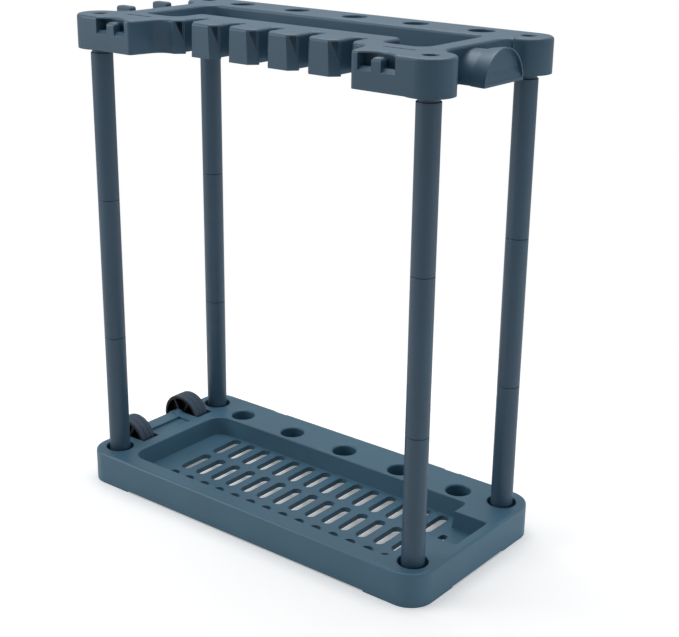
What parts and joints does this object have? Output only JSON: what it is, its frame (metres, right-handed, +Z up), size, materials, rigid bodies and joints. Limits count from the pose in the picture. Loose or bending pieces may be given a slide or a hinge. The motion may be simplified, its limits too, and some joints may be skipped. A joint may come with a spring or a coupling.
{
  "type": "garden tool rack",
  "caption": "Freestanding rack for long garden tools: slotted base tray on two wheels, plug-in posts and a top frame with finger slots, round holes, hooks and a hose holder.",
  "frame": {"origin": "on the floor, under the middle of the whole rack with its wheels", "axes": "+Z up, X along the rack with the wheels at the negative end and the hose holder at the positive end, finger slots facing -Y and round holes along +Y"},
  "size_m": [0.771, 0.35, 0.842],
  "materials": {
    "tray_plastic": "satin blue-grey moulding",
    "frame_plastic": "satin blue-grey moulding",
    "post_plastic": "satin blue-grey tube",
    "wheel_plastic": "near-black moulding",
    "axle_steel": "drawn rod",
    "cap_steel": "pressed cap"
  },
  "bodies": {
    "rack": {"base_tray": "tray_plastic", "top_frame": "frame_plastic", "post_front_left_lower": "post_plastic", "post_front_left_middle": "post_plastic", "post_front_left_upper": "post_plastic", "post_front_right_lower": "post_plastic", "post_front_right_middle": "post_plastic", "post_front_right_upper": "post_plastic", "post_rear_left_lower": "post_plastic", "post_rear_left_middle": "post_plastic", "post_rear_left_upper": "post_plastic", "post_rear_right_lower": "post_plastic", "post_rear_right_middle": "post_plastic", "post_rear_right_upper": "post_plastic", "axle": "axle_steel", "axle_cap_front": "cap_steel", "axle_cap_rear": "cap_steel"},
    "wheel_front": {"wheel_front": "wheel_plastic"},
    "wheel_rear": {"wheel_rear": "wheel_plastic"}
  },
  "joints": [
    {"name": "wheel_front_spin", "type": "hinge", "parent": "rack", "child": "wheel_front", "pos_m": [-0.3425, -0.0715, 0.0445], "axis": [0, 1, 0], "continuous": true},
    {"name": "wheel_rear_spin", "type": "hinge", "parent": "rack", "child": "wheel_rear", "pos_m": [-0.3425, 0.0715, 0.0445], "axis": [0, 1, 0], "continuous": true}
  ]
}
